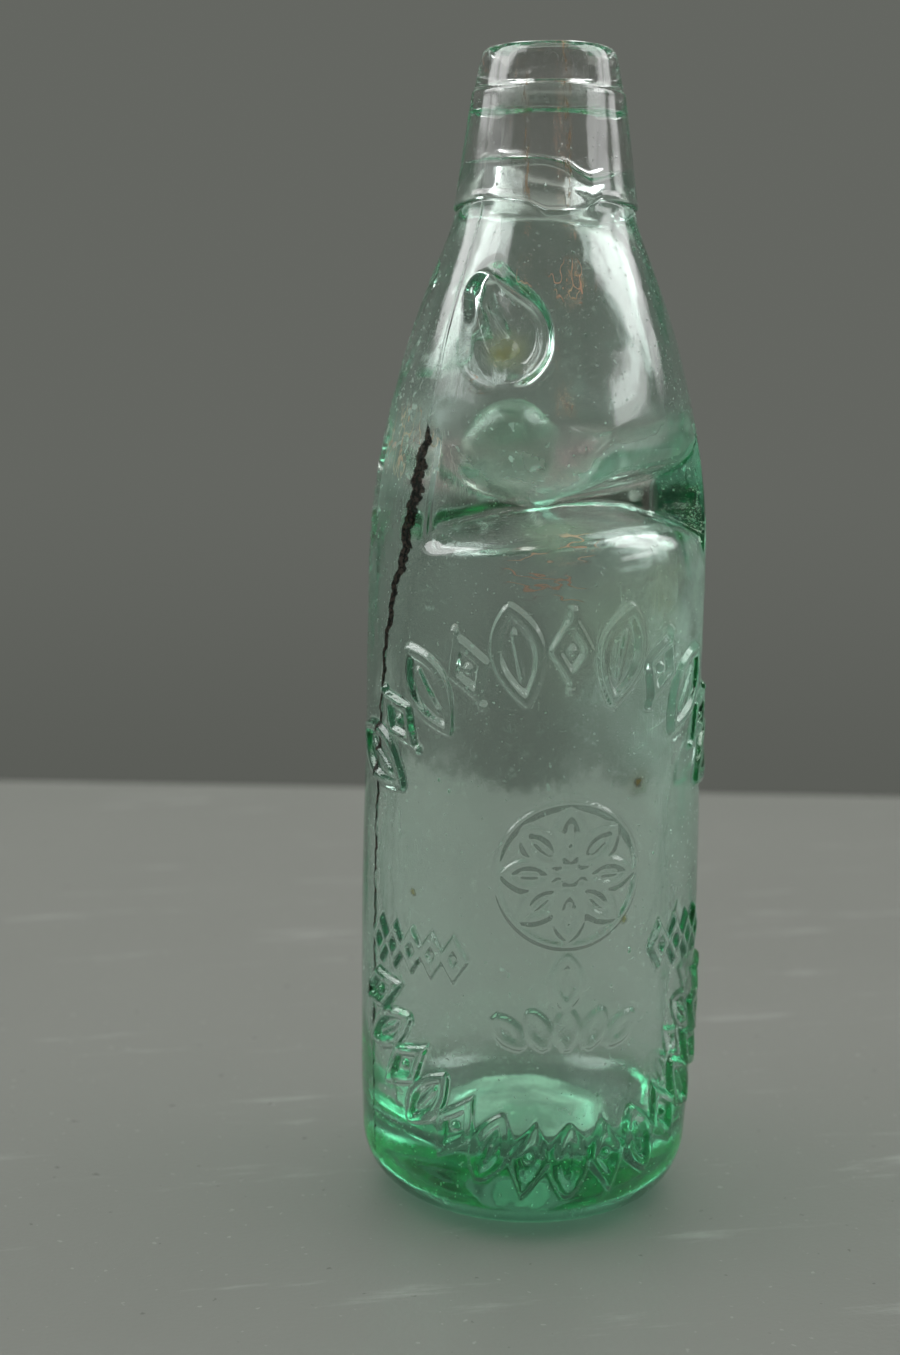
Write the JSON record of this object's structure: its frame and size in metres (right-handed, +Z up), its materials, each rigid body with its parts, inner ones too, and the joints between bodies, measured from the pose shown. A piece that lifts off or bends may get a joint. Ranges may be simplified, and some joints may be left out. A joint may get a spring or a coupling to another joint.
{
  "type": "marble-stoppered soda bottle",
  "caption": "Pressed-throat mineral water bottle of pale green glass, sealed by a glass marble against a ring in the lip; raised ornament on the front.",
  "frame": {"origin": "centre of the foot's resting plane, on the bottle's axis", "axes": "+Z up along the bottle, -Y towards the ornamented front; the throat is pinched 20 degrees round from the front, and the two lugs are 90 degrees before it, on the -X side"},
  "size_m": [0.0666, 0.0666, 0.222],
  "materials": {
    "body_glass": "pale green mould-blown glass, glossy, lightly scratched",
    "lip_glass": "pale green tooled glass, glossy",
    "ring_rubber": "aged grey rubber, chalky",
    "marble_glass": "green glass ball, glossy"
  },
  "bodies": {
    "bottle": {"bottle_body": "body_glass", "applied_lip": "lip_glass", "seal_ring": "ring_rubber"},
    "marble": {"marble": "marble_glass"}
  },
  "joints": [
    {"name": "marble_travel", "type": "slide", "parent": "bottle", "child": "marble", "axis": [0.1058, 0.0385, 0.9936], "range_m": [0, 0.05686]}
  ]
}
